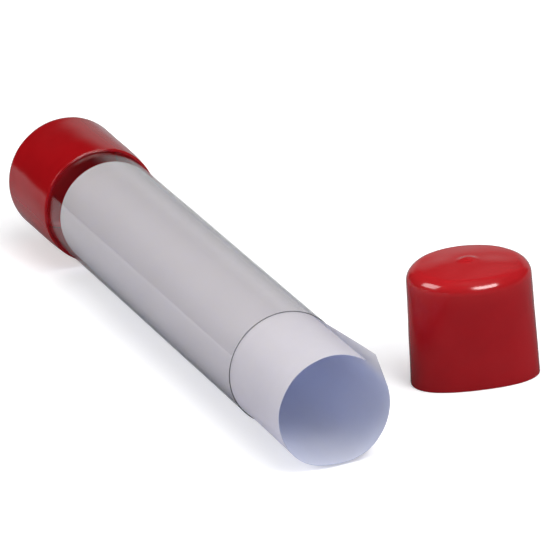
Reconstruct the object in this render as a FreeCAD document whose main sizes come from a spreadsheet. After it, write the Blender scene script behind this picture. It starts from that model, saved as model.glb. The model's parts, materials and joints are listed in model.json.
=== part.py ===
import FreeCAD, Part
import math
import os

import Sketcher

# A drawing tube lying on a table: a clear plastic tube with a soft vinyl cap on its rear
# end, a rolled drawing sheet standing out of its front end, and the second cap taken off
# and stood on its mouth beside it. Millimetres, +Z up, the table is z = 0.
# The tube's line rises a little to the rear, where it lies on the fatter cap.

SIZES = {
    "tube_radius": 35.0,  # outer, a 70 mm tube
    "tube_wall": 0.6,
    "tube_length": 358.0,
    "cap_bore": 35.05,  # running fit on the tube
    "cap_mouth_radius": 37.06,
    "cap_shoulder_radius": 37.94,
    "cap_length": 67.0,  # mouth to the shoulder circle
    "cap_depth": 64.5,  # mouth to the inner end face
    "cap_rise": 2.8,  # crown of the closed end
    "cap_corner": 8.5,
    "cap_inner_corner": 3.0,
    "cap_lip": 0.7,  # rounding of the mouth's outer edge
    "nib_radius": 4.0,  # drip point left by dip moulding
    "nib_height": 1.6,
    "nib_root": 1.0,  # how deep the drip point is rooted in the crown
    "sheet_length": 355.6,
    "sheet_radius": 34.1,  # the sheet's 215.9 mm width rolled to one turn
    "sheet_thickness": 0.25,
    "slit_angle": 45.0,  # middle of the gap between the sheet's two long edges
    "slit_half": 2.0,  # half of that gap, in degrees
    "sheet_out": 73.5,  # how far the sheet stands out of the tube
    "cap_seat": 297.5,  # from the tube's front edge back to the rear cap's mouth
    "rest_tilt": 0.455,  # slope of the tube's line, in degrees
    "front_x": 147.6,  # the tube's front edge
    "tube_y": -60.65,
    "loose_cap_x": 142.3,
    "loose_cap_y": 60.65,
}

ORIGIN = FreeCAD.Vector(0, 0, 0)
NORMAL = FreeCAD.Vector(0, 0, 1)


def make_sheet(doc):
    """The spreadsheet of driving dimensions, one alias per row."""
    cells = doc.addObject("Spreadsheet::Sheet", "sizes")
    for row, (name, value) in enumerate(SIZES.items(), start=1):
        cells.set("A%d" % row, name)
        cells.set("B%d" % row, str(value))
        cells.setAlias("B%d" % row, name)
    doc.recompute()
    return cells


def make_body(doc, name):
    body = doc.addObject("PartDesign::Body", name)
    body.Label = name
    return body


def origin_feature(body, role):
    return next(part for part in body.Origin.OriginFeatures if part.Role == role)


def make_sketch(body, name, role):
    sketch = body.newObject("Sketcher::SketchObject", name)
    sketch.AttachmentSupport = (origin_feature(body, role), [""])
    sketch.MapMode = "FlatFace"
    return sketch


def drive(sketch, kind, refs, value, expression):
    """One dimension of a sketch, bound to the sheet."""
    index = sketch.addConstraint(Sketcher.Constraint(kind, *refs, value))
    sketch.setExpression("Constraints[%d]" % index, expression)


def chain(sketch, points):
    """A closed run of straight lines; returns the lines' indices."""
    vectors = [FreeCAD.Vector(x, y, 0) for x, y in points]
    lines = []
    for start, end in zip(vectors, vectors[1:] + vectors[:1]):
        lines.append(sketch.addGeometry(Part.LineSegment(start, end), False))
    for first, second in zip(lines, lines[1:] + lines[:1]):
        sketch.addConstraint(Sketcher.Constraint("Coincident", first, 2, second, 1))
    return lines


def place_point(sketch, line, x, y):
    """Both coordinates of a line's start point, each a (value, expression)."""
    drive(sketch, "DistanceX", (-1, 1, line, 1), *x)
    drive(sketch, "DistanceY", (-1, 1, line, 1), *y)


def revolve(body, kind, name, sketch):
    """Revolution or Groove of a sketch about the body's Z axis."""
    feature = body.newObject(kind, name)
    feature.Profile = sketch
    feature.ReferenceAxis = (sketch, ["V_Axis"])
    feature.Angle = 360.0
    return feature


def circle_edge(shape, radius, height):
    """Name of the circular edge of this radius at this height on the Z axis."""
    for number, edge in enumerate(shape.Edges, start=1):
        if edge.Degenerated or not isinstance(edge.Curve, Part.Circle):
            continue
        curve = edge.Curve
        if abs(curve.Radius - radius) < 1e-3 and abs(curve.Center.z - height) < 1e-3:
            return "Edge%d" % number
    raise RuntimeError("no edge of radius %g at height %g" % (radius, height))


def round_edge(doc, body, base, name, radius, height, size):
    doc.recompute()
    fillet = body.newObject("PartDesign::Fillet", name)
    fillet.Base = (base, [circle_edge(base.Shape, radius, height)])
    fillet.setExpression("Radius", "sizes.%s" % size)
    return fillet


def outer_profile(body):
    """Half section of the closed cap: tapered wall and crowned end."""
    sketch = make_sketch(body, body.Name + "_outer", "XZ_Plane")
    mouth = SIZES["cap_mouth_radius"]
    shoulder = SIZES["cap_shoulder_radius"]
    length = SIZES["cap_length"]
    rise = SIZES["cap_rise"]
    crown = (shoulder**2 + rise**2) / (2 * rise)
    half_angle = math.asin(shoulder / crown)
    centre = FreeCAD.Vector(0, length + rise - crown, 0)
    floor = sketch.addGeometry(
        Part.LineSegment(ORIGIN, FreeCAD.Vector(mouth, 0, 0)), False
    )
    wall = sketch.addGeometry(
        Part.LineSegment(FreeCAD.Vector(mouth, 0, 0), FreeCAD.Vector(shoulder, length, 0)),
        False,
    )
    dome = sketch.addGeometry(
        Part.ArcOfCircle(
            Part.Circle(centre, NORMAL, crown), math.pi / 2 - half_angle, math.pi / 2
        ),
        False,
    )
    axis = sketch.addGeometry(
        Part.LineSegment(FreeCAD.Vector(0, length + rise, 0), ORIGIN), False
    )
    joints = [(floor, 2, wall, 1), (wall, 2, dome, 1), (dome, 2, axis, 1), (axis, 2, floor, 1)]
    for refs in joints:
        sketch.addConstraint(Sketcher.Constraint("Coincident", *refs))
    sketch.addConstraint(Sketcher.Constraint("Coincident", floor, 1, -1, 1))
    sketch.addConstraint(Sketcher.Constraint("Horizontal", floor))
    sketch.addConstraint(Sketcher.Constraint("Vertical", axis))
    sketch.addConstraint(Sketcher.Constraint("PointOnObject", dome, 3, -2))
    drive(sketch, "DistanceX", (-1, 1, floor, 2), mouth, "sizes.cap_mouth_radius")
    drive(sketch, "DistanceX", (-1, 1, wall, 2), shoulder, "sizes.cap_shoulder_radius")
    drive(sketch, "DistanceY", (-1, 1, wall, 2), length, "sizes.cap_length")
    drive(
        sketch,
        "DistanceY",
        (-1, 1, dome, 2),
        length + rise,
        "sizes.cap_length + sizes.cap_rise",
    )
    return sketch


def hollow_profile(body):
    """Half section of the straight bore that takes the tube."""
    sketch = make_sketch(body, body.Name + "_bore", "XZ_Plane")
    bore = SIZES["cap_bore"]
    depth = SIZES["cap_depth"]
    lines = chain(sketch, [(0, 0), (bore, 0), (bore, depth), (0, depth)])
    sketch.addConstraint(Sketcher.Constraint("Coincident", lines[0], 1, -1, 1))
    sketch.addConstraint(Sketcher.Constraint("Horizontal", lines[0]))
    sketch.addConstraint(Sketcher.Constraint("Horizontal", lines[2]))
    sketch.addConstraint(Sketcher.Constraint("Vertical", lines[1]))
    sketch.addConstraint(Sketcher.Constraint("Vertical", lines[3]))
    place_point(sketch, lines[2], (bore, "sizes.cap_bore"), (depth, "sizes.cap_depth"))
    return sketch


def nib_profile(body):
    """Half section of the small cone in the middle of the crowned end."""
    sketch = make_sketch(body, body.Name + "_nib", "XZ_Plane")
    radius = SIZES["nib_radius"]
    crown_top = SIZES["cap_length"] + SIZES["cap_rise"]
    root = crown_top - SIZES["nib_root"]
    tip = crown_top + SIZES["nib_height"]
    lines = chain(sketch, [(0, root), (radius, root), (0, tip)])
    sketch.addConstraint(Sketcher.Constraint("PointOnObject", lines[0], 1, -2))
    sketch.addConstraint(Sketcher.Constraint("PointOnObject", lines[2], 1, -2))
    sketch.addConstraint(Sketcher.Constraint("Horizontal", lines[0]))
    top = "sizes.cap_length + sizes.cap_rise"
    drive(sketch, "DistanceX", (-1, 1, lines[1], 1), radius, "sizes.nib_radius")
    drive(sketch, "DistanceY", (-1, 1, lines[1], 1), root, top + " - sizes.nib_root")
    drive(sketch, "DistanceY", (-1, 1, lines[2], 1), tip, top + " + sizes.nib_height")
    return sketch


def make_cap(doc, name):
    """A dip-moulded cap on its own Z axis, mouth at z = 0 and closed end up."""
    body = make_body(doc, name)
    solid = revolve(body, "PartDesign::Revolution", name + "_form", outer_profile(body))
    length = SIZES["cap_length"]
    shoulder = SIZES["cap_shoulder_radius"]
    mouth = SIZES["cap_mouth_radius"]
    solid = round_edge(doc, body, solid, name + "_corner", shoulder, length, "cap_corner")
    solid = round_edge(doc, body, solid, name + "_lip", mouth, 0, "cap_lip")
    doc.recompute()
    solid_volume = solid.Shape.Volume
    solid = revolve(body, "PartDesign::Groove", name + "_hollow", hollow_profile(body))
    doc.recompute()
    if solid.Shape.Volume > 0.5 * solid_volume:
        raise RuntimeError("the bore of %s cuts too little" % name)
    bore = SIZES["cap_bore"]
    depth = SIZES["cap_depth"]
    size = "cap_inner_corner"
    round_edge(doc, body, solid, name + "_inner_corner", bore, depth, size)
    revolve(body, "PartDesign::Revolution", name + "_drip", nib_profile(body))
    return body


def make_tube(doc, name):
    """Thin tube on its own Z axis, front edge at z = 0."""
    body = make_body(doc, name)
    sketch = make_sketch(body, name + "_ring", "XY_Plane")
    outer_radius = SIZES["tube_radius"]
    inner_radius = outer_radius - SIZES["tube_wall"]
    outer = sketch.addGeometry(Part.Circle(ORIGIN, NORMAL, outer_radius), False)
    inner = sketch.addGeometry(Part.Circle(ORIGIN, NORMAL, inner_radius), False)
    sketch.addConstraint(Sketcher.Constraint("Coincident", outer, 3, -1, 1))
    sketch.addConstraint(Sketcher.Constraint("Coincident", inner, 3, -1, 1))
    drive(sketch, "Radius", (outer,), outer_radius, "sizes.tube_radius")
    drive(sketch, "Radius", (inner,), inner_radius, "sizes.tube_radius - sizes.tube_wall")
    pad = body.newObject("PartDesign::Pad", name + "_wall")
    pad.Profile = sketch
    pad.setExpression("Length", "sizes.tube_length")
    return body


def make_roll(doc, name):
    """The drawing sheet rolled to one turn on its own Z axis, front end at z = 0."""
    body = make_body(doc, name)
    sketch = make_sketch(body, name + "_section", "XY_Plane")
    outer_radius = SIZES["sheet_radius"]
    inner_radius = outer_radius - SIZES["sheet_thickness"]
    middle = math.radians(SIZES["slit_angle"])
    half = math.radians(SIZES["slit_half"])
    first = middle + half
    last = middle - half + 2 * math.pi
    arcs = []
    for radius in (outer_radius, inner_radius):
        circle = Part.Circle(ORIGIN, NORMAL, radius)
        arcs.append(sketch.addGeometry(Part.ArcOfCircle(circle, first, last), False))
        sketch.addConstraint(Sketcher.Constraint("Coincident", arcs[-1], 3, -1, 1))
    drive(sketch, "Radius", (arcs[0],), outer_radius, "sizes.sheet_radius")
    inner_rule = "sizes.sheet_radius - sizes.sheet_thickness"
    drive(sketch, "Radius", (arcs[1],), inner_radius, inner_rule)
    ends = ((1, first, "+"), (2, last, "-"))
    for end, angle, sign in ends:
        ray = FreeCAD.Vector(math.cos(angle), math.sin(angle), 0)
        edge = Part.LineSegment(ray * inner_radius, ray * outer_radius)
        line = sketch.addGeometry(edge, False)
        sketch.addConstraint(Sketcher.Constraint("Coincident", line, 1, arcs[1], end))
        sketch.addConstraint(Sketcher.Constraint("Coincident", line, 2, arcs[0], end))
        sketch.addConstraint(Sketcher.Constraint("PointOnObject", -1, 1, line))
        rule = "(sizes.slit_angle %s sizes.slit_half) * 1 deg" % sign
        value = math.atan2(ray.y, ray.x)
        drive(sketch, "Angle", (line,), value, rule)
    pad = body.newObject("PartDesign::Pad", name + "_paper")
    pad.Profile = sketch
    pad.setExpression("Length", "sizes.sheet_length")
    return body


def lay_on_line(body, distance):
    """Lays a body on the tube's line, its z = 0 this far behind the tube's front edge."""
    tilt = SIZES["rest_tilt"]
    turn = FreeCAD.Rotation(FreeCAD.Vector(0, 1, 0), tilt - 90)
    body.Placement = FreeCAD.Placement(ORIGIN, turn)
    slope = "sizes.rest_tilt * 1 deg"
    rules = {
        "Placement.Rotation.Angle": "(sizes.rest_tilt - 90) * 1 deg",
        "Placement.Base.x": "sizes.front_x - (%s) * cos(%s)" % (distance, slope),
        "Placement.Base.y": "sizes.tube_y",
        "Placement.Base.z": "sizes.tube_radius * cos(%s) + (%s) * sin(%s)"
        % (slope, distance, slope),
    }
    for path, rule in rules.items():
        body.setExpression(path, rule)


def stand_on_table(body):
    body.setExpression("Placement.Base.x", "sizes.loose_cap_x")
    body.setExpression("Placement.Base.y", "sizes.loose_cap_y")


def check_document(doc, bodies):
    for item in doc.Objects:
        if "Invalid" in item.State or "Error" in item.State:
            raise RuntimeError("%s failed: %s" % (item.Name, item.State))
    for body in bodies:
        shape = body.Shape
        if shape.isNull() or not shape.isValid() or len(shape.Solids) != 1:
            raise RuntimeError("%s has no single valid solid" % body.Label)


def main():
    doc = FreeCAD.newDocument("drawing_tube")
    make_sheet(doc)
    tube = make_tube(doc, "clear_tube")
    rear_cap = make_cap(doc, "rear_cap")
    front_cap = make_cap(doc, "front_cap")
    roll = make_roll(doc, "drawing_sheet")
    lay_on_line(tube, "0")
    lay_on_line(rear_cap, "sizes.cap_seat")
    lay_on_line(roll, "-sizes.sheet_out")
    stand_on_table(front_cap)
    doc.recompute()
    bodies = (tube, rear_cap, front_cap, roll)
    check_document(doc, bodies)
    os.makedirs("parts", exist_ok=True)
    whole = FreeCAD.BoundBox()
    for body in bodies:
        body.Shape.exportStep("parts/%s.step" % body.Label)
        box = body.Shape.optimalBoundingBox()
        whole.add(box)
        print(body.Label, "volume %.0f mm3" % body.Shape.Volume, box)
    print("whole", whole)


main()
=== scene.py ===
"""A drawing tube on a pale table: clear tube, red vinyl cap, rolled sheet, and the second cap beside it.

Metres, in the CAD frame. Places along the tube are measured from its front edge, forwards positive,
and angles round it turn from the loose cap's side (0) over the top (90 degrees).
"""

import json
import math

import bmesh
import bpy
from mathutils import Matrix, Vector, noise


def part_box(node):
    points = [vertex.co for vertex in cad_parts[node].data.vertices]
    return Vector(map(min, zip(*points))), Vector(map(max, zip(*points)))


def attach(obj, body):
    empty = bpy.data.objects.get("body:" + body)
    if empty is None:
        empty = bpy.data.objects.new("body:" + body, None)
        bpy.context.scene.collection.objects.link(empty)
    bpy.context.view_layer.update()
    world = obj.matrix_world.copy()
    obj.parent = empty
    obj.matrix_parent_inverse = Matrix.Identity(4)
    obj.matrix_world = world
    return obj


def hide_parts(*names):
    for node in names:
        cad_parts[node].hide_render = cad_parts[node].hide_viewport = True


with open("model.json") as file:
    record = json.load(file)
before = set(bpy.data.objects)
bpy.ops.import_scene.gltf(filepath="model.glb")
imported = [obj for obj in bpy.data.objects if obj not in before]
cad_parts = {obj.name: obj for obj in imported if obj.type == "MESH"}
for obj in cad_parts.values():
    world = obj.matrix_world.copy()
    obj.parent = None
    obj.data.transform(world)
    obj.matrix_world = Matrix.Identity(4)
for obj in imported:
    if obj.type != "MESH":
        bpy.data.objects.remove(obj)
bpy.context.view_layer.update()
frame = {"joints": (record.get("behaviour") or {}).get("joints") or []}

MM = 0.001
TURN = 2 * math.pi
SHARP_FROM = math.radians(40)  # edges turned further than this are shaded as edges

# ---------------------------------------------------------------- the tube's line, from the frame

slide = next(joint for joint in frame["joints"] if joint["name"] == "sheet_slide")
AXIS = Vector(slide["axis"]).normalized()
SIDE = Vector((0, 1, 0))
RISE = AXIS.cross(SIDE)

tube_low, tube_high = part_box("clear_tube")
TUBE_RADIUS = (tube_high.y - tube_low.y) / 2
TUBE_LENGTH = (tube_high.x - tube_low.x - 2 * TUBE_RADIUS * RISE.x) / AXIS.x
FRONT = Vector(  # the middle of the tube's front edge
    (
        tube_high.x - TUBE_RADIUS * RISE.x,
        (tube_high.y + tube_low.y) / 2,
        tube_low.z + TUBE_RADIUS * RISE.z,
    )
)

CAP_MOUTH = 37.06 * MM  # radii of the fitted cap at its mouth and its shoulder
CAP_SHOULDER = 37.94 * MM
rear_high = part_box("rear_cap")[1]
# Where the fitted cap's mouth is, and how far the sheet stands out, along the line.
CAP_SEAT = (rear_high.x - CAP_MOUTH * RISE.x - FRONT.x) / AXIS.x

SHEET_LENGTH = 355.6 * MM
SHEET_WIDTH = 215.9 * MM
CAD_ROLL_RADIUS = 34.1 * MM
sheet_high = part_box("drawing_sheet")[1]
SHEET_OUT = (sheet_high.x - CAD_ROLL_RADIUS * RISE.x - FRONT.x) / AXIS.x

loose_low, loose_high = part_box("front_cap")
LOOSE_CENTRE = Vector(
    ((loose_low.x + loose_high.x) / 2, (loose_low.y + loose_high.y) / 2, loose_low.z)
)


def on_line(along, angle, radius):
    """A point near the tube, from its place along the line, angle round it and radius."""
    spoke = SIDE * math.cos(angle) + RISE * math.sin(angle)
    return FRONT + AXIS * along + spoke * radius


def smooth(value, low, high):
    """Eases from 0 at low to 1 at high."""
    share = min(1.0, max(0.0, (value - low) / (high - low)))
    return share * share * (3 - 2 * share)


def hump(angle, middle, width):
    """A soft bump round the line, 1 at its middle; middle and width are in degrees."""
    return math.exp(-(((math.degrees(angle) - middle) / width) ** 2))


def wander(x, y, z):
    """Smooth noise from -1 to 1, the same on every run."""
    return noise.noise(Vector((x, y, z)))


def wander_round(angle, waves, along):
    """The same noise round a piece: waves says how often it changes, along where it is cut."""
    return wander(waves * math.cos(angle), waves * math.sin(angle), along)


def arc(centre, radius, start, end, steps):
    """Points on an arc in the (radius, height) plane, angles in degrees."""
    points = []
    for step in range(steps + 1):
        angle = math.radians(start + (end - start) * step / steps)
        points.append(
            (centre[0] + radius * math.cos(angle), centre[1] + radius * math.sin(angle))
        )
    return points


def run(start, end, steps):
    """Points on a straight stretch, both ends included."""
    shares = [step / steps for step in range(steps + 1)]
    return [
        (start[0] + (end[0] - start[0]) * k, start[1] + (end[1] - start[1]) * k)
        for k in shares
    ]


def without_doubles(points, gap=0.02 * MM):
    """The same points without those that lie closer than gap to the one before."""
    kept = [points[0]]
    for point in points[1:]:
        if math.dist(point, kept[-1]) > gap:
            kept.append(point)
    return kept


# ---------------------------------------------------------------- node helpers


class Nodes:
    """Short names for the few node set-ups that the materials share."""

    def __init__(self, name):
        self.material = bpy.data.materials.new(name)
        self.material.use_nodes = True
        self.tree = self.material.node_tree
        self.tree.nodes.clear()
        self.output = self.tree.nodes.new("ShaderNodeOutputMaterial")
        self.place = self.tree.nodes.new("ShaderNodeTexCoord").outputs["Object"]

    def add(self, kind, **settings):
        node = self.tree.nodes.new(kind)
        for key, value in settings.items():
            setattr(node, key, value)
        return node

    def link(self, source, target):
        self.tree.links.new(source, target)

    def feed(self, target, value):
        """Links a socket, or sets a plain number or colour."""
        if isinstance(value, bpy.types.NodeSocket):
            self.link(value, target)
        else:
            target.default_value = value

    def stretched(self, scale):
        """Object coordinates scaled per axis, for grain that runs one way."""
        mapping = self.add("ShaderNodeMapping")
        mapping.inputs["Scale"].default_value = scale
        self.link(self.place, mapping.inputs["Vector"])
        return mapping.outputs["Vector"]

    def noise(self, scale, detail=2.0, rough=0.5, vector=None):
        node = self.add("ShaderNodeTexNoise")
        node.inputs["Scale"].default_value = scale
        node.inputs["Detail"].default_value = detail
        node.inputs["Roughness"].default_value = rough
        self.link(vector or self.place, node.inputs["Vector"])
        return node.outputs["Fac"]

    def cells(self, scale):
        node = self.add("ShaderNodeTexVoronoi")
        node.inputs["Scale"].default_value = scale
        self.link(self.place, node.inputs["Vector"])
        return node.outputs["Distance"]

    def ramp(self, value, low, high, to_low=0.0, to_high=1.0):
        """Maps low..high of a value to to_low..to_high, clamped."""
        node = self.add("ShaderNodeMapRange", clamp=True)
        self.link(value, node.inputs["Value"])
        node.inputs["From Min"].default_value = low
        node.inputs["From Max"].default_value = high
        node.inputs["To Min"].default_value = to_low
        node.inputs["To Max"].default_value = to_high
        return node.outputs["Result"]

    def maths(self, operation, first, second):
        node = self.add("ShaderNodeMath", operation=operation)
        self.feed(node.inputs[0], first)
        self.feed(node.inputs[1], second)
        return node.outputs[0]

    def blend(self, share, first, second):
        """Mixes two colours by a share."""
        node = self.add("ShaderNodeMix", data_type="RGBA")
        self.feed(node.inputs["Factor"], share)
        self.feed(node.inputs[6], first)
        self.feed(node.inputs[7], second)
        return node.outputs[2]

    def bump(self, height, distance, strength=1.0, below=None):
        node = self.add("ShaderNodeBump")
        node.inputs["Strength"].default_value = strength
        node.inputs["Distance"].default_value = distance
        self.link(height, node.inputs["Height"])
        if below is not None:
            self.link(below, node.inputs["Normal"])
        return node.outputs["Normal"]

    def principled(self, colour, roughness, normal=None, **constants):
        node = self.add("ShaderNodeBsdfPrincipled")
        self.feed(node.inputs["Base Color"], colour)
        self.feed(node.inputs["Roughness"], roughness)
        if normal is not None:
            self.link(normal, node.inputs["Normal"])
        for key, value in constants.items():
            node.inputs[key.replace("_", " ")].default_value = value
        return node.outputs["BSDF"]

    def finish(self, shader):
        self.link(shader, self.output.inputs["Surface"])


# ---------------------------------------------------------------- materials

TABLE_LIFT = 0.3  # brightness added to what the camera sees of the table
PAPER_OPEN = 0.44  # share of light that each face of the sheet lets on
PAPER_GLOW = (0.67, 0.74, 0.98, 1)
EDGE_OPEN = 0.58  # the same two at the free edge, where light comes through one layer only
EDGE_GLOW = (0.79, 0.785, 0.82, 1)
WALL_IOR = 1.36
WALL_SHINE = 0.4  # the most that handled plastic mirrors, however flat it is seen
VINYL_IOR = 1.42
LIT_CROWN_FROM = 56 * MM  # heights over which a loose cap's side colour turns into the lighter red painted on its top: painted light
LIT_CROWN_FULL = 68 * MM
CLEAR = (1, 1, 1, 1)
WALL_TINT = (0.998, 0.997, 0.995, 1)
WALL_TINT_AT_OUTLINE = (0.95, 0.965, 0.96, 1)
CUT_COLOURS = (0.05, 0.052, 0.058, 1), (0.16, 0.165, 0.175, 1)
DUST_COLOUR = (0.6, 0.3, 0.28, 1)
FLECK_COLOUR = (0.45, 0.42, 0.42, 1)
TABLE_COLOURS = (0.86, 0.86, 0.865, 1), (0.88, 0.88, 0.885, 1)
TABLE_THROWN = (0.56, 0.56, 0.57, 1)  # its colour in the light that it throws back
TABLE_MIRRORED = (0.34, 0.34, 0.35, 1)  # and in what the gloss mirrors: beside the objects,
TABLE_MIRRORED_FRONT = (0.14, 0.14, 0.145, 1)  # in front of them
TABLE_MIRRORED_BACK = (0.58, 0.58, 0.59, 1)  # and far behind, lighter: a painted sheen, the board mirroring the back wall


def red_vinyl(name, light, shade, gloss, crown=None):
    """Dip-moulded vinyl: saturated, glossy, faint orange peel, handling smears, a few specks.

    crown is a lighter red painted on a loose cap's top: painted light, standing in for the stronger
    light that falls on the top.
    """
    make = Nodes(name)
    cloudy = make.ramp(make.noise(38, 3, 0.55), 0.3, 0.7)
    colour = make.blend(cloudy, shade, light)
    # painted light: a loose cap's top is painted lighter than its sides
    if crown:
        height = make.add("ShaderNodeSeparateXYZ")
        make.link(make.place, height.inputs["Vector"])
        top = make.ramp(height.outputs["Z"], LIT_CROWN_FROM, LIT_CROWN_FULL)
        colour = make.blend(top, colour, crown)
    specks = make.ramp(make.cells(210), 0.045, 0.02)
    sparse = make.ramp(make.noise(95, 1), 0.66, 0.7)
    dust = make.maths("MULTIPLY", specks, sparse)
    colour = make.blend(make.maths("MULTIPLY", dust, 0.5), colour, DUST_COLOUR)
    smears = make.noise(26, 4, 0.62, make.stretched((1, 1, 2.4)))
    roughness = make.ramp(smears, 0.35, 0.7, *gloss)
    roughness = make.maths("ADD", roughness, make.maths("MULTIPLY", dust, 0.3))
    peel = make.noise(620, 2, 0.5)
    drips = make.noise(70, 2, 0.4)
    normal = make.bump(drips, 0.12 * MM, 0.5)
    normal = make.bump(peel, 0.012 * MM, 0.6, normal)
    normal = make.bump(dust, 0.05 * MM, 0.8, normal)
    make.finish(make.principled(colour, roughness, normal, IOR=VINYL_IOR))


def paper(name, light, shade):
    """Smooth drawing paper: fine fibres, faint cloudiness, a very few flecks, and light through it."""
    make = Nodes(name)
    cloudy = make.ramp(make.noise(60, 4, 0.6), 0.3, 0.7)
    colour = make.blend(cloudy, shade, light)
    fleck = make.ramp(make.cells(170), 0.05, 0.02)
    few = make.ramp(make.noise(70, 1), 0.68, 0.72)
    marks = make.maths("MULTIPLY", fleck, few)
    colour = make.blend(make.maths("MULTIPLY", marks, 0.3), colour, FLECK_COLOUR)
    fibres = make.noise(2600, 3, 0.6)
    normal = make.bump(fibres, 0.02 * MM, 0.35)
    tooth = make.noise(900, 2, 0.5)
    roughness = make.ramp(tooth, 0.3, 0.7, 0.62, 0.78)
    face = make.principled(colour, roughness, normal, IOR=1.45, Specular_IOR_Level=0.3)
    free = make.add("ShaderNodeAttribute", attribute_name="free_edge").outputs["Fac"]
    glow = make.add("ShaderNodeBsdfTranslucent")
    make.link(make.blend(free, PAPER_GLOW, EDGE_GLOW), glow.inputs["Color"])
    mixed = make.add("ShaderNodeMixShader")
    make.link(make.ramp(free, 0, 1, PAPER_OPEN, EDGE_OPEN), mixed.inputs["Fac"])
    make.link(face, mixed.inputs[1])
    make.link(glow.outputs["BSDF"], mixed.inputs[2])
    make.finish(mixed.outputs["Shader"])


def clear_plastic():
    """Thin clear wall: mostly open, mirrors more and greys towards its outline."""
    make = Nodes("clear_wall")
    along = make.stretched((0.06, 1, 1))
    lines = make.noise(420, 3, 0.6, along)
    haze = make.noise(30, 3, 0.6)
    facing = make.add("ShaderNodeLayerWeight")
    facing.inputs["Blend"].default_value = 0.5
    edge = make.maths("POWER", facing.outputs["Facing"], 6.0)
    path = make.add("ShaderNodeLightPath")
    passing = make.maths("MAXIMUM", path.outputs["Is Shadow Ray"], path.outputs["Is Diffuse Ray"])
    seen = make.maths("SUBTRACT", 1.0, passing)
    see = make.add("ShaderNodeBsdfTransparent")
    tint = make.blend(edge, WALL_TINT, WALL_TINT_AT_OUTLINE)
    tint = make.blend(passing, tint, CLEAR)
    make.link(tint, see.inputs["Color"])
    mirror = make.add("ShaderNodeBsdfAnisotropic")
    mirror.inputs["Color"].default_value = CLEAR
    make.link(make.ramp(haze, 0.3, 0.75, 0.03, 0.11), mirror.inputs["Roughness"])
    normal = make.bump(lines, 0.006 * MM, 0.4)
    make.link(normal, mirror.inputs["Normal"])
    share = make.add("ShaderNodeFresnel")
    behind = make.add("ShaderNodeNewGeometry").outputs["Backfacing"]
    make.link(make.ramp(behind, 0, 1, WALL_IOR, 1 / WALL_IOR), share.inputs["IOR"])
    mixed = make.add("ShaderNodeMixShader")
    gloss = make.maths("MINIMUM", share.outputs["Fac"], WALL_SHINE)
    make.link(make.maths("MULTIPLY", gloss, seen), mixed.inputs["Fac"])
    make.link(see.outputs["BSDF"], mixed.inputs[1])
    make.link(mirror.outputs["BSDF"], mixed.inputs[2])
    make.finish(mixed.outputs["Shader"])


def cut_edge():
    """The tube's sawn end faces: frosted, and painted dark as painted shade, because light runs along
    the wall.
    """
    make = Nodes("clear_cut")
    saw = make.noise(900, 3, 0.6)
    colour = make.blend(saw, *CUT_COLOURS)
    normal = make.bump(saw, 0.03 * MM, 0.5)
    make.finish(make.principled(colour, 0.6, normal, IOR=1.35))


def table_top():
    """Plain pale board, greyer in what the objects mirror and in the light that it throws back."""
    make = Nodes("table_top")
    grain = make.ramp(make.noise(3, 3, 0.5), 0.3, 0.7)
    colour = make.blend(grain, *TABLE_COLOURS)
    path = make.add("ShaderNodeLightPath")
    across = make.add("ShaderNodeSeparateXYZ")
    make.link(make.place, across.inputs["Vector"])
    aside = make.maths("MULTIPLY", across.outputs["Y"], 0.25)
    ahead = make.maths("SUBTRACT", across.outputs["X"], aside)
    front = make.ramp(ahead, -0.2, 0.18)
    mirrored = make.blend(front, TABLE_MIRRORED, TABLE_MIRRORED_FRONT)
    # painted sheen: what the gloss mirrors of the board turns lighter far behind the objects
    back = make.ramp(ahead, -0.3, -0.8)
    mirrored = make.blend(back, mirrored, TABLE_MIRRORED_BACK)
    thrown = make.blend(path.outputs["Is Glossy Ray"], TABLE_THROWN, mirrored)
    colour = make.blend(path.outputs["Is Camera Ray"], thrown, colour)
    board = make.add("ShaderNodeBsdfDiffuse")
    make.link(colour, board.inputs["Color"])
    lift = make.add("ShaderNodeEmission")
    make.link(
        make.maths("MULTIPLY", path.outputs["Is Camera Ray"], TABLE_LIFT),
        lift.inputs["Strength"],
    )
    both = make.add("ShaderNodeAddShader")
    make.link(board.outputs["BSDF"], both.inputs[0])
    make.link(lift.outputs["Emission"], both.inputs[1])
    make.finish(both.outputs["Shader"])


# ---------------------------------------------------------------- mesh making


def face_outwards(mesh):
    """Turns the faces of a closed skin over if they look inwards."""
    skin = bmesh.new()
    skin.from_mesh(mesh)
    inside_out = skin.calc_volume(signed=True) < 0
    skin.free()
    if inside_out:
        mesh.flip_normals()


def mesh_piece(name, points, faces, kinds, materials, flat_kinds=()):
    """An object from points and faces. kinds gives each face's material, by its number.

    flat_kinds are the numbers whose faces aren't smoothed.
    """
    mesh = bpy.data.meshes.new(name)
    mesh.from_pydata([tuple(point) for point in points], [], faces)
    face_outwards(mesh)
    for material in materials:
        mesh.materials.append(bpy.data.materials[material])
    for polygon, kind in zip(mesh.polygons, kinds):
        polygon.material_index = kind
        polygon.use_smooth = kind not in flat_kinds
    mesh.set_sharp_from_angle(angle=SHARP_FROM)
    mesh.update()
    piece = bpy.data.objects.new(name, mesh)
    bpy.context.scene.collection.objects.link(piece)
    return piece


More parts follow.
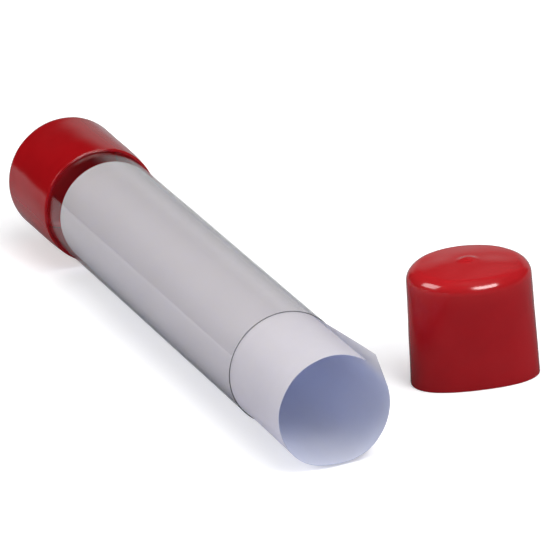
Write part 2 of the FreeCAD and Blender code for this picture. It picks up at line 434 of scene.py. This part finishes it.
def loft(name, rings, materials, kind_of, closed=False, flat_kinds=()):
    """A skin over rings of points. A ring of one point is a pole.

    kind_of gives the material's number for the band after each ring, and closed joins the
    last ring to the first.
    """
    points = []
    starts = []
    for ring in rings:
        starts.append(len(points))
        points.extend(ring)
    faces = []
    kinds = []
    bands = len(rings) if closed else len(rings) - 1
    for band in range(bands):
        after = (band + 1) % len(rings)
        first, second = rings[band], rings[after]
        low, high = starts[band], starts[after]
        count = max(len(first), len(second))
        for place in range(count):
            following = (place + 1) % count
            if len(first) == 1:
                face = (low, high + following, high + place)
            elif len(second) == 1:
                face = (low + place, low + following, high)
            else:
                face = (low + place, low + following, high + following, high + place)
            faces.append(face)
            kinds.append(kind_of(band))
    return mesh_piece(name, points, faces, kinds, materials, flat_kinds)


# ---------------------------------------------------------------- caps

CAP_BORE = 35.05 * MM
CAP_LENGTH = 67 * MM
CAP_DEPTH = 64.5 * MM
CAP_CORNER = 8.5 * MM
CAP_RISE = 2.8 * MM  # crown of the closed end
NIB_HEIGHT = 1.4 * MM  # the drip point in the middle of the closed end
NIB_WIDTH = 4.6 * MM
CAP_STEPS = 224
DRAW_IN = 13 * MM  # how far up from the mouth the wall narrows
RIPPLE_END = 12 * MM  # and how far up the fitted cap's wavy mouth is felt
LIP = 0.5 * MM  # roundings of the mouth's outer and inner edge
INNER_LIP = 0.4 * MM
LIP_BANDS = 6  # bands from the mouth inwards that are still the outside's red
INNER_CORNER = 3.0 * MM
SKIN_LUMPS = 0.15 * MM  # unevenness of the fitted cap's dipped skin
TUBE_RIDGE = 0.12 * MM  # how far the end of the tube pushes it out
RIDGE_WIDTH = 3 * MM
MOUTH_RIPPLE = 0.25 * MM


def cap_outline(mouth, shoulder, length, corner, bore, depth):
    """Half section of a dipped cap from its outer pole round the lip to its inner pole."""
    centre_radius = shoulder - corner
    slope = math.atan(2 * CAP_RISE * centre_radius / shoulder**2)
    edge = centre_radius + corner * math.sin(slope)

    def dome(radius):
        crown = CAP_RISE * (1 - (radius / shoulder) ** 2)
        return length + crown + NIB_HEIGHT * math.exp(-((radius / NIB_WIDTH) ** 3))

    nib_end = NIB_WIDTH * 2
    fine = [nib_end * k / 14 for k in range(15)]
    broad = [nib_end + (edge - nib_end) * k / 16 for k in range(1, 17)]
    points = [(radius, dome(radius)) for radius in fine + broad]
    centre = (centre_radius, dome(edge) - corner * math.cos(slope))
    points += arc(centre, corner, 90 - math.degrees(slope), 0, 18)
    for height in (LIP + (centre[1] - LIP) * (1 - k / 44) for k in range(45)):
        points.append((shoulder - (shoulder - mouth) * math.exp(-height / DRAW_IN), height))
    points += arc((mouth - LIP, LIP), LIP, 0, -90, 7)
    points += run((mouth - LIP, 0), (bore + INNER_LIP, 0), 3)
    points += arc((bore + INNER_LIP, INNER_LIP), INNER_LIP, -90, -180, 4)
    points += run((bore, INNER_LIP), (bore, depth - INNER_CORNER), 34)
    inner_centre = (bore - INNER_CORNER, depth - INNER_CORNER)
    points += arc(inner_centre, INNER_CORNER, 0, 90, 8)
    points += run((bore - INNER_CORNER, depth), (0, depth), 8)
    return without_doubles(points)


def cap_piece(name, outline, vinyl, place):
    """Sweeps the outline round; place turns (angle, radius, height) into a point."""
    every_angle = [TURN * step / CAP_STEPS for step in range(CAP_STEPS)]
    rings = []
    for radius, height in outline:
        pole = radius < 0.01 * MM
        angles = [0.0] if pole else every_angle
        rings.append([place(angle, 0.0 if pole else radius, height) for angle in angles])
    mouth_ring = outline.index(min(outline, key=lambda spot: spot[1]))
    return loft(
        name,
        rings,
        (vinyl, "vinyl_inside"),
        kind_of=lambda band: 1 if band > mouth_ring + LIP_BANDS else 0,
    )


def make_rear_cap():
    """The fitted cap: stretched tight, with the least unevenness of a dipped skin."""
    outline = cap_outline(CAP_MOUTH, CAP_SHOULDER, CAP_LENGTH, CAP_CORNER, CAP_BORE, CAP_DEPTH)
    tube_end = TUBE_LENGTH + CAP_SEAT  # height in the cap at which the tube stops

    def place(angle, radius, height):
        outside = smooth(radius, CAP_BORE + 0.3 * MM, CAP_BORE + 1.2 * MM)
        lumps = wander_round(angle, 2.2, height / (22 * MM))
        ridge = math.exp(-(((height - tube_end) / RIDGE_WIDTH) ** 2))
        swell = outside * (SKIN_LUMPS * lumps + TUBE_RIDGE * ridge)
        ripple = MOUTH_RIPPLE * wander_round(angle, 1.6, 7.3)
        lift = ripple * (1 - smooth(height, 0, RIPPLE_END))
        spot = on_line(CAP_SEAT - height - lift, angle, radius + swell)
        spot.z = max(spot.z, 0.0)  # the soft wall lies flat where it rests on the table
        return spot

    cap = cap_piece("rear_cap_skin", outline, "fitted_vinyl", place)
    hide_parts("rear_cap")
    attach(cap, "rear_cap")


# The loose cap has taken a set: it is wide across the view and its near side is pressed in.
LOOSE_TURN = math.radians(75.9)  # compass direction of its wide side
LOOSE_RADIUS = 37.0 * MM
LOOSE_BORE = 34.6 * MM
LOOSE_HEIGHT = 71.6 * MM
LOOSE_DEPTH = 69 * MM
LOOSE_CORNER = 9.2 * MM
LOOSE_MOUTH = {"wide": 38.5 * MM, "near": 21.8 * MM, "far": 38.5 * MM}
LOOSE_TOP = {"wide": 36.9 * MM, "near": 33.8 * MM, "far": 33.8 * MM}
LOOSE_FLARE = 1.15  # power by which the top's oval goes over into the mouth's
LOOSE_LUMPS = 0.006  # unevenness of its skin, as a share of its radius
CROWN_DENT = 0.3 * MM
DENT_SPACING = 15 * MM


def oval(shape, angle):
    """A point of an oval with its own depth on the near and the far side."""
    across = shape["wide"] * math.cos(angle)
    middle = (shape["far"] - shape["near"]) / 2
    mean = (shape["far"] + shape["near"]) / 2
    turn = math.sin(angle)
    return across, turn * (mean + middle * turn)


def make_front_cap():
    """The loose cap: the same moulding, relaxed, with a squashed mouth."""
    outline = cap_outline(
        LOOSE_RADIUS, LOOSE_RADIUS, LOOSE_HEIGHT, LOOSE_CORNER, LOOSE_BORE, LOOSE_DEPTH
    )
    right = Vector((math.cos(LOOSE_TURN), math.sin(LOOSE_TURN), 0))
    away = Vector((-math.sin(LOOSE_TURN), math.cos(LOOSE_TURN), 0))

    def place(angle, radius, height):
        share = radius / LOOSE_RADIUS
        down = (1 - min(1.0, height / LOOSE_HEIGHT)) ** LOOSE_FLARE
        mouth = oval(LOOSE_MOUTH, angle)
        top = oval(LOOSE_TOP, angle)
        across = top[0] + (mouth[0] - top[0]) * down
        deep = top[1] + (mouth[1] - top[1]) * down
        lumps = wander_round(angle, 1.8, height / (26 * MM) + 3)
        scale = share * (1 + LOOSE_LUMPS * lumps)
        point = LOOSE_CENTRE + right * across * scale + away * deep * scale
        crown = smooth(height, LOOSE_HEIGHT * 0.8, LOOSE_HEIGHT)
        dent = CROWN_DENT * wander(point.x / DENT_SPACING, point.y / DENT_SPACING, 2.0)
        return point + Vector((0, 0, height + crown * dent))

    cap = cap_piece("front_cap_skin", outline, "loose_vinyl", place)
    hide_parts("front_cap")
    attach(cap, "front_cap")


# ---------------------------------------------------------------- clear tube

TUBE_WALL = 0.6 * MM
TUBE_STEPS = 288  # points round it
TUBE_BANDS = 60  # bands along it
SAW_ROUNDING = 0.12 * MM
OUT_OF_ROUND = 0.05 * MM
OUT_OF_ROUND_FINE = 0.03 * MM


def make_tube():
    """The drawn wall, very slightly out of round, with the saw's edges broken."""
    inner = TUBE_RADIUS - TUBE_WALL
    stations = [-TUBE_LENGTH * k / TUBE_BANDS for k in range(TUBE_BANDS + 1)]
    stations[0] -= SAW_ROUNDING
    stations[-1] += SAW_ROUNDING
    profile = [(TUBE_RADIUS, along) for along in stations]
    edge = (TUBE_RADIUS - SAW_ROUNDING, inner + SAW_ROUNDING)
    profile += [(radius, -TUBE_LENGTH) for radius in edge]
    profile += [(inner, along) for along in reversed(stations)]
    profile += [(radius, 0.0) for radius in reversed(edge)]
    rear_edge = {TUBE_BANDS + k for k in range(3)}
    front_edge = {len(profile) - k for k in (1, 2, 3)}
    edge_bands = rear_edge | front_edge

    def ring(radius, along):
        points = []
        for step in range(TUBE_STEPS):
            angle = TURN * step / TUBE_STEPS
            sway = OUT_OF_ROUND * math.sin(2 * angle + 0.7)
            sway += OUT_OF_ROUND_FINE * math.sin(3 * angle)
            points.append(on_line(along, angle, radius + sway))
        return points

    tube = loft(
        "clear_tube_wall",
        [ring(radius, along) for radius, along in profile],
        ("clear_wall", "clear_cut"),
        kind_of=lambda band: 1 if band in edge_bands else 0,
        closed=True,
        flat_kinds=(1,),
    )
    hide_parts("clear_tube")
    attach(tube, "tube")


# ---------------------------------------------------------------- rolled sheet

SHEET_THICK = 0.22 * MM
ROLL_FRONT = 34.45 * MM  # radius at the open end, where nothing holds it in
ROLL_MOUTH = 34.05 * MM  # at the tube's front edge
ROLL_REAR = 33.4 * MM
CORNER_RADIUS = 39.9 * MM  # how far the free corner springs out
CORNER_CURVE = 0.85  # power by which the free edge comes out towards that corner
EDGE_ANGLE = math.radians(50.4)  # the edge that stays down, at the open end
EDGE_ANGLE_IN = math.radians(46.0)
SAG_ANGLE = 266  # where the open end is pressed a little flat, in degrees
SAG_WIDTH = 24
SAG_DEPTH = 1.8 * MM
SLACK_OUT = 0.5 * MM  # the rear end lies looser: out at the top and in at the low far side
SLACK_OUT_ANGLE = 92
SLACK_IN = 1.2 * MM
SLACK_IN_ANGLE = 195
SLACK_WIDTH = 38
STEP_UP = 0.36 * MM  # how much further out the free edge runs than the edge that stays down
ONE_LAYER_FROM = 26 * MM  # distances from the free edge over which the paper comes off the roll
ONE_LAYER_FULL = 8 * MM
WAVE_HEIGHT = 0.22 * MM  # waves that rolling and unrolling leave, broad and short ones
WAVE_LENGTH = 95 * MM
SHORT_WAVE_HEIGHT = 0.08 * MM
SHORT_WAVE_LENGTH = 40 * MM
WAVES_IN_TUBE = 0.55  # share of them that is left inside the tube, which keeps it rounder
SHEET_ROWS = 150
SHEET_COLUMNS = 300
ROW_CROWDING = 1.25  # powers that bring rows together at the open end
COLUMN_CROWDING = 1.35  # and columns at the free edge
OUTSIDE, INSIDE, CUT_EDGE = range(3)  # kinds of face, numbered as its materials are


def roll_radius(along):
    """The roll's radius: a little wider where it stands free, tighter towards the rear."""
    if along > 0:
        return ROLL_MOUTH + (ROLL_FRONT - ROLL_MOUTH) * smooth(along, 0, SHEET_OUT)
    rear = SHEET_LENGTH - SHEET_OUT
    return ROLL_MOUTH + (ROLL_REAR - ROLL_MOUTH) * smooth(-along, 0, rear)


def sheet_waves(along, angle):
    """What handling adds to the radius: waves all over, sag at the front, slack at the rear."""
    waves = WAVE_HEIGHT * wander_round(angle, 2.3, along / WAVE_LENGTH)
    waves += SHORT_WAVE_HEIGHT * wander_round(angle, 5, along / SHORT_WAVE_LENGTH)
    if along <= 0:
        waves *= WAVES_IN_TUBE
    sag = smooth(along, -30 * MM, 25 * MM) * SAG_DEPTH * hump(angle, SAG_ANGLE, SAG_WIDTH)
    slack = smooth(-along, 150 * MM, 300 * MM)
    loose_out = SLACK_OUT * hump(angle, SLACK_OUT_ANGLE, SLACK_WIDTH)
    loose_in = SLACK_IN * hump(angle, SLACK_IN_ANGLE, SLACK_WIDTH)
    return waves - sag + slack * (loose_out - loose_in)


def sheet_point(along, distance):
    """The angle and radius of a point of the sheet's outside.

    distance is measured round the paper from the edge that stays down.
    """
    radius = roll_radius(along)
    out = max(0.0, along / SHEET_OUT)
    reach = radius + (CORNER_RADIUS - ROLL_FRONT) * out**CORNER_CURVE
    flat = math.sqrt(max(0.0, reach**2 - radius**2))
    start = EDGE_ANGLE_IN + (EDGE_ANGLE - EDGE_ANGLE_IN) * smooth(along, -40 * MM, SHEET_OUT)
    bend_end = SHEET_WIDTH - flat
    if distance <= bend_end:
        angle = start + distance / radius
        spot = radius
    else:
        straight = distance - bend_end
        angle = start + bend_end / radius + math.atan2(straight, radius)
        spot = math.hypot(radius, straight)
    step = STEP_UP * (distance / SHEET_WIDTH - 0.5)
    return angle, spot + step + sheet_waves(along, angle)


def sheet_rings():
    """Points round both faces, row by row, and how free of the roll the paper is at each."""
    rings = []
    freedom = []
    for row in range(SHEET_ROWS + 1):
        along = SHEET_OUT - SHEET_LENGTH * (row / SHEET_ROWS) ** ROW_CROWDING
        out_of_tube = smooth(along, -12 * MM, 4 * MM)
        outer = []
        inner = []
        loose = []
        for column in range(SHEET_COLUMNS + 1):
            share = column / SHEET_COLUMNS
            distance = SHEET_WIDTH * (1 - (1 - share) ** COLUMN_CROWDING)
            angle, radius = sheet_point(along, distance)
            outer.append(on_line(along, angle, radius))
            inner.append(on_line(along, angle, radius - SHEET_THICK))
            near_edge = 1 - smooth(SHEET_WIDTH - distance, ONE_LAYER_FULL, ONE_LAYER_FROM)
            loose.append(near_edge * out_of_tube)
        rings.append(outer + list(reversed(inner)))
        freedom += loose + list(reversed(loose))
    return rings, freedom


def sheet_faces():
    """The faces between those rings and over the two ends, and the kind of each."""
    faces = []
    kinds = []
    count = SHEET_COLUMNS + 1
    width = 2 * count
    across = [OUTSIDE] * SHEET_COLUMNS + [CUT_EDGE] + [INSIDE] * SHEET_COLUMNS + [CUT_EDGE]
    for row in range(SHEET_ROWS):
        low, high = row * width, (row + 1) * width
        for place in range(width):
            following = (place + 1) % width
            faces.append((low + place, high + place, high + following, low + following))
        kinds += across
    for row, flip in ((0, False), (SHEET_ROWS, True)):
        base = row * width
        for column in range(SHEET_COLUMNS):
            far = base + width - 1 - column
            face = (base + column, base + column + 1, far - 1, far)
            faces.append(tuple(reversed(face)) if flip else face)
            kinds.append(CUT_EDGE)
    return faces, kinds


def make_sheet():
    """One sheet rolled to a single turn: one closed skin, with both faces and its cut edges."""
    rings, freedom = sheet_rings()
    points = [point for ring in rings for point in ring]
    faces, kinds = sheet_faces()
    materials = ("paper_outside", "paper_inside", "paper_edge")
    sheet = mesh_piece("drawing_sheet_paper", points, faces, kinds, materials, (CUT_EDGE,))
    free_edge = sheet.data.attributes.new("free_edge", "FLOAT", "POINT")
    free_edge.data.foreach_set("value", freedom)
    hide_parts("drawing_sheet")
    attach(sheet, "sheet")


# ---------------------------------------------------------------- stage, lights and camera


def make_table():
    """The pale floor, a hair below the object so that no two faces lie in one plane."""
    side = 6.0
    mesh = bpy.data.meshes.new("table_top")
    corners = [(-side, -side, 0), (side, -side, 0), (side, side, 0), (-side, side, 0)]
    mesh.from_pydata(corners, [], [(0, 1, 2, 3)])
    mesh.materials.append(bpy.data.materials["table_top"])
    table = bpy.data.objects.new("table_top", mesh)
    table.location.z = -0.1 * MM
    bpy.context.scene.collection.objects.link(table)


def soften_rim(lamp, margin):
    """Lets a lamp's brightness fall off over the outer part of its face."""
    lamp.use_nodes = True
    tree = lamp.node_tree
    place = tree.nodes.new("ShaderNodeNewGeometry")
    split = tree.nodes.new("ShaderNodeSeparateXYZ")
    tree.links.new(place.outputs["Parametric"], split.inputs["Vector"])
    both = tree.nodes.new("ShaderNodeMath")
    both.operation = "MULTIPLY"
    for index, axis in enumerate("XY"):
        off_centre = tree.nodes.new("ShaderNodeMath")
        off_centre.operation = "SUBTRACT"
        off_centre.inputs[1].default_value = 0.5
        tree.links.new(split.outputs[axis], off_centre.inputs[0])
        size = tree.nodes.new("ShaderNodeMath")
        size.operation = "ABSOLUTE"
        tree.links.new(off_centre.outputs[0], size.inputs[0])
        fall = tree.nodes.new("ShaderNodeMapRange")
        fall.interpolation_type = "SMOOTHSTEP"
        fall.inputs["From Min"].default_value = 0.5 - margin[index]
        fall.inputs["From Max"].default_value = 0.5
        fall.inputs["To Min"].default_value = 1.0
        fall.inputs["To Max"].default_value = 0.0
        tree.links.new(size.outputs[0], fall.inputs["Value"])
        tree.links.new(fall.outputs["Result"], both.inputs[index])
    tree.links.new(both.outputs[0], tree.nodes["Emission"].inputs["Strength"])


LAMP_AIM = Vector((0.05, 0, 0.03))
LAMP_DISTANCE = 2.6
LAMP_RIM = (0.12, 0.12)
ROOM_COLOUR = (0.93, 0.95, 1.0, 1)
ROOM_LIGHT = 0.21
ROOM_MIRRORED = 0.005


def soft_panel(name, towards, size, brightness, seen, margin=None, distance=LAMP_DISTANCE):
    """A soft light in a compass direction and height from the object, facing it.

    Directions are degrees from +X and degrees up; brightness is what a mirror would show.
    seen is "mirrored" for a light that only shows in shiny faces, "lighting" for the opposite.
    margin is the share of its width and height over which a mirrored light fades at each rim.
    """
    turn, up = (math.radians(value) for value in towards)
    spot = Vector((math.cos(turn) * math.cos(up), math.sin(turn) * math.cos(up), math.sin(up)))
    lamp = bpy.data.lights.new(name, "AREA")
    lamp.shape = "RECTANGLE"
    lamp.size, lamp.size_y = size
    lamp.energy = brightness * math.pi * size[0] * size[1]
    if margin:
        soften_rim(lamp, margin)
    holder = bpy.data.objects.new(name, lamp)
    holder.location = LAMP_AIM + spot * distance
    holder.rotation_mode = "QUATERNION"
    holder.rotation_quaternion = spot.to_track_quat("Z", "Y")
    holder.visible_glossy = seen != "lighting"
    holder.visible_diffuse = seen != "mirrored"
    bpy.context.scene.collection.objects.link(holder)


def make_lights():
    """Soft panels for the light, and others for what the gloss mirrors."""
    soft_panel("left_softbox", (-101, 36), (1.5, 1.25), 9.8, "mirrored", LAMP_RIM)
    soft_panel("right_softbox", (12, 31), (1.9, 1.2), 19.0, "mirrored", LAMP_RIM)
    soft_panel("left_fill", (-98, 30), (1.9, 1.3), 5.6, "lighting")
    soft_panel("right_fill", (8, 22), (1.5, 1.2), 2.2, "lighting")
    soft_panel("key", (22, 47), (1.0, 0.7), 9.6, "lighting")
    soft_panel("overhead", (30, 70), (1.15, 1.15), 2.95, "lighting", distance=1.25)
    soft_panel("back_wall", (150, 9), (4.4, 1.9), 0.39, "mirrored", (0.16, 0.34))
    soft_panel("back_fill", (150, 20), (4.4, 1.2), 0.3, "lighting")
    soft_panel("ceiling_glow", (132, 40), (2.6, 1.4), 0.2, "mirrored", (0.25, 0.3))


def make_room():
    """A dim room all round, nearly black in what the gloss mirrors."""
    world = bpy.data.worlds.new("room")
    world.use_nodes = True
    tree = world.node_tree
    background = tree.nodes["Background"]
    background.inputs["Color"].default_value = ROOM_COLOUR
    path = tree.nodes.new("ShaderNodeLightPath")
    dim = tree.nodes.new("ShaderNodeMapRange")
    tree.links.new(path.outputs["Is Glossy Ray"], dim.inputs["Value"])
    dim.inputs["To Min"].default_value = ROOM_LIGHT
    dim.inputs["To Max"].default_value = ROOM_MIRRORED
    tree.links.new(dim.outputs["Result"], background.inputs["Strength"])
    bpy.context.scene.world = world


CAMERA_BACK = Vector((0.86469, -0.33034, 0.37840))  # from the tube towards the camera
CAMERA_UP = Vector((-0.32573, 0.20470, 0.92304))
CAMERA_PLACE = Vector((3.241, -1.240, 1.477))  # from the middle of the tube's front edge
CAMERA_LENS = 425.5


def make_camera():
    """A long lens, well back; its place and turn are in the tube line's own directions."""
    line = Matrix((AXIS, SIDE, RISE)).transposed()
    back = line @ CAMERA_BACK.normalized()
    right = (line @ CAMERA_UP).cross(back).normalized()
    up = back.cross(right)
    camera = bpy.data.cameras.new("camera")
    camera.lens = CAMERA_LENS
    camera.sensor_width = 36.0
    camera.clip_start = 0.1
    camera.clip_end = 30.0
    holder = bpy.data.objects.new("camera", camera)
    holder.matrix_world = Matrix.Translation(FRONT + line @ CAMERA_PLACE) @ Matrix(
        (right, up, back)
    ).transposed().to_4x4()
    bpy.context.scene.collection.objects.link(holder)
    bpy.context.scene.camera = holder
    bpy.context.scene.view_settings.view_transform = "Standard"


def make_materials():
    """Every material, under the name by which the pieces ask for it."""
    glossy = (0.1, 0.19)  # lowest and highest roughness
    dull = (0.3, 0.45)
    red_vinyl("fitted_vinyl", (0.305, 0.0045, 0.0068, 1), (0.265, 0.0034, 0.0054, 1), glossy)
    # loose_vinyl is the same vinyl as fitted_vinyl, painted a little lighter: painted light, for the
    # stronger light on the loose cap
    red_vinyl(
        "loose_vinyl",
        (0.33, 0.0068, 0.0108, 1),
        (0.292, 0.0053, 0.0092, 1),
        glossy,
        crown=(0.355, 0.0105, 0.0135, 1),
    )
    # vinyl_inside is painted a far lighter red than the outside: painted light, standing in for the
    # light that comes through the red wall
    red_vinyl("vinyl_inside", (0.8, 0.003, 0.010, 1), (0.74, 0.002, 0.008, 1), dull)
    paper("paper_outside", (0.722, 0.65, 0.54, 1), (0.692, 0.62, 0.515, 1))
    # paper_inside is the same paper painted lighter and bluer than its outside: painted light, standing
    # in for the bluish light inside the roll
    paper("paper_inside", (0.86, 0.865, 0.91, 1), (0.84, 0.845, 0.895, 1))
    # paper_edge is painted dark grey: painted shade along the sheet's cut edges
    paper("paper_edge", (0.30, 0.30, 0.35, 1), (0.24, 0.24, 0.28, 1))
    clear_plastic()
    cut_edge()
    table_top()


def main():
    make_materials()
    make_camera()
    make_tube()
    make_rear_cap()
    make_front_cap()
    make_sheet()
    make_table()
    make_lights()
    make_room()


main()
